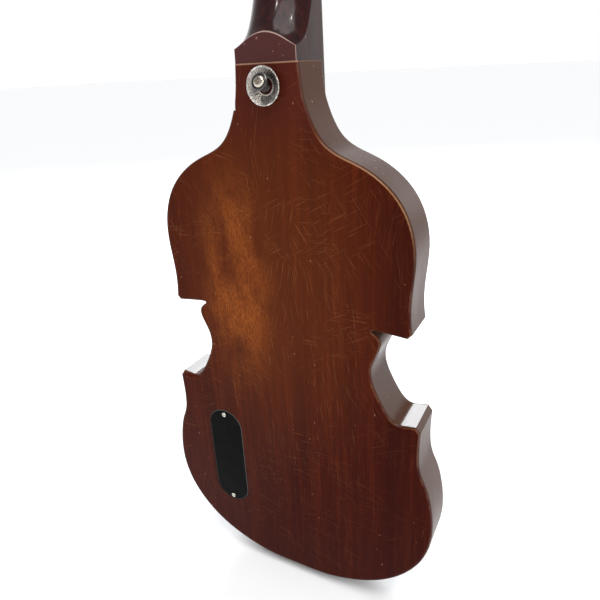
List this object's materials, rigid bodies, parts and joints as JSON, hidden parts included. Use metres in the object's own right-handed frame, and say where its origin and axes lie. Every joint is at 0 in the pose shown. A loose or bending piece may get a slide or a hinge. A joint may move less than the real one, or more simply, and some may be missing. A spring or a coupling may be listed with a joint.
{
  "type": "electric bass guitar",
  "caption": "Violin-shaped solid-body electric bass guitar with a set neck, rear control cover, strap button and planetary tuners, played flat or upright",
  "frame": {"origin": "On the centre line of the body's bottom end, at half its thickness, at the end pin socket", "axes": "+Z along the strings towards the headstock, strings facing -Y, flat back facing +Y, +X on the treble side where the controls are"},
  "size_m": [0.292, 0.0939, 1.087],
  "materials": {
    "mahogany_body": "gloss",
    "mahogany_neck": "gloss",
    "rosewood": "satin",
    "black_veneer": "gloss",
    "nickel_silver": "satin",
    "pearloid": "gloss",
    "bone": "satin",
    "steel": "satin",
    "black_plastic": "gloss",
    "nickel": "polished",
    "brown_plastic": "gloss",
    "coil_wrap": "matte",
    "magnet": "matte",
    "brass": "satin",
    "knob_plastic": "gloss",
    "capacitor_case": "satin",
    "wire_sleeve": "matte",
    "aged_nickel": "satin",
    "string_wire": "satin",
    "cream_plastic": "gloss"
  },
  "bodies": {
    "instrument": {"body": "mahogany_body", "bridge_bar": "nickel", "bridge_set_screws": "nickel", "bridge_stud_bushings": "brass", "bridge_studs": "nickel", "control_cover": "black_plastic", "control_cover_screws": "nickel", "control_nuts": "nickel", "end_pin_screw": "nickel", "end_pin_socket": "nickel", "fret_dots": "pearloid", "fretboard": "rosewood", "frets": "nickel_silver", "headstock_veneer": "black_veneer", "neck": "mahogany_neck", "output_jack": "nickel", "pickup_baseplate": "brass", "pickup_coil": "coil_wrap", "pickup_cover": "brown_plastic", "pickup_magnet": "magnet", "pickup_pole_screws": "nickel", "pickup_screws": "nickel", "strap_button": "aged_nickel", "strap_button_cup": "aged_nickel", "strap_button_screw": "aged_nickel", "string_a": "string_wire", "string_d": "string_wire", "string_e": "string_wire", "string_g": "string_wire", "string_nut": "bone", "tone_capacitor": "capacitor_case", "tone_pot": "steel", "truss_cover_screws": "nickel", "truss_rod": "steel", "truss_rod_cover": "black_plastic", "truss_rod_nut": "steel", "tuner_a_housing": "nickel", "tuner_d_housing": "nickel", "tuner_e_housing": "nickel", "tuner_g_housing": "nickel", "tuner_nuts": "nickel", "volume_pot": "steel", "wiring": "wire_sleeve"},
    "volume_control": {"volume_knob": "knob_plastic", "volume_pot_shaft": "brass"},
    "tone_control": {"tone_knob": "knob_plastic", "tone_pot_shaft": "brass"},
    "post_e": {"tuner_e_post": "nickel", "string_e_winding": "string_wire"},
    "button_e": {"tuner_e_button": "cream_plastic"},
    "post_a": {"tuner_a_post": "nickel", "string_a_winding": "string_wire"},
    "button_a": {"tuner_a_button": "cream_plastic"},
    "post_d": {"tuner_d_post": "nickel", "string_d_winding": "string_wire"},
    "button_d": {"tuner_d_button": "cream_plastic"},
    "post_g": {"tuner_g_post": "nickel", "string_g_winding": "string_wire"},
    "button_g": {"tuner_g_button": "cream_plastic"}
  },
  "joints": [
    {"name": "volume_turn", "type": "hinge", "parent": "instrument", "child": "volume_control", "pos_m": [0.0785, -0.03, 0.152], "axis": [0, -1, 0], "range_deg": [-150, 150]},
    {"name": "tone_turn", "type": "hinge", "parent": "instrument", "child": "tone_control", "pos_m": [0.0785, -0.03, 0.112], "axis": [0, -1, 0], "range_deg": [-150, 150]},
    {"name": "button_e_turn", "type": "hinge", "parent": "instrument", "child": "button_e", "pos_m": [-0.026, -0.00854, 0.94923], "axis": [0, -0.9659, 0.2588], "continuous": true},
    {"name": "post_e_turn", "type": "hinge", "parent": "instrument", "child": "post_e", "pos_m": [-0.026, -0.00854, 0.94923], "axis": [0, -0.9659, 0.2588], "continuous": true},
    {"name": "button_a_turn", "type": "hinge", "parent": "instrument", "child": "button_a", "pos_m": [-0.026, 0.00958, 1.01684], "axis": [0, -0.9659, 0.2588], "continuous": true},
    {"name": "post_a_turn", "type": "hinge", "parent": "instrument", "child": "post_a", "pos_m": [-0.026, 0.00958, 1.01684], "axis": [0, -0.9659, 0.2588], "continuous": true},
    {"name": "button_d_turn", "type": "hinge", "parent": "instrument", "child": "button_d", "pos_m": [0.026, 0.00958, 1.01684], "axis": [0, -0.9659, 0.2588], "continuous": true},
    {"name": "post_d_turn", "type": "hinge", "parent": "instrument", "child": "post_d", "pos_m": [0.026, 0.00958, 1.01684], "axis": [0, -0.9659, 0.2588], "continuous": true},
    {"name": "button_g_turn", "type": "hinge", "parent": "instrument", "child": "button_g", "pos_m": [0.026, -0.00854, 0.94923], "axis": [0, -0.9659, 0.2588], "continuous": true},
    {"name": "post_g_turn", "type": "hinge", "parent": "instrument", "child": "post_g", "pos_m": [0.026, -0.00854, 0.94923], "axis": [0, -0.9659, 0.2588], "continuous": true}
  ],
  "couplings": [
    {"joint": "post_e_turn", "follows": "button_e_turn", "ratio": 0.25},
    {"joint": "post_a_turn", "follows": "button_a_turn", "ratio": 0.25},
    {"joint": "post_d_turn", "follows": "button_d_turn", "ratio": 0.25},
    {"joint": "post_g_turn", "follows": "button_g_turn", "ratio": 0.25}
  ]
}
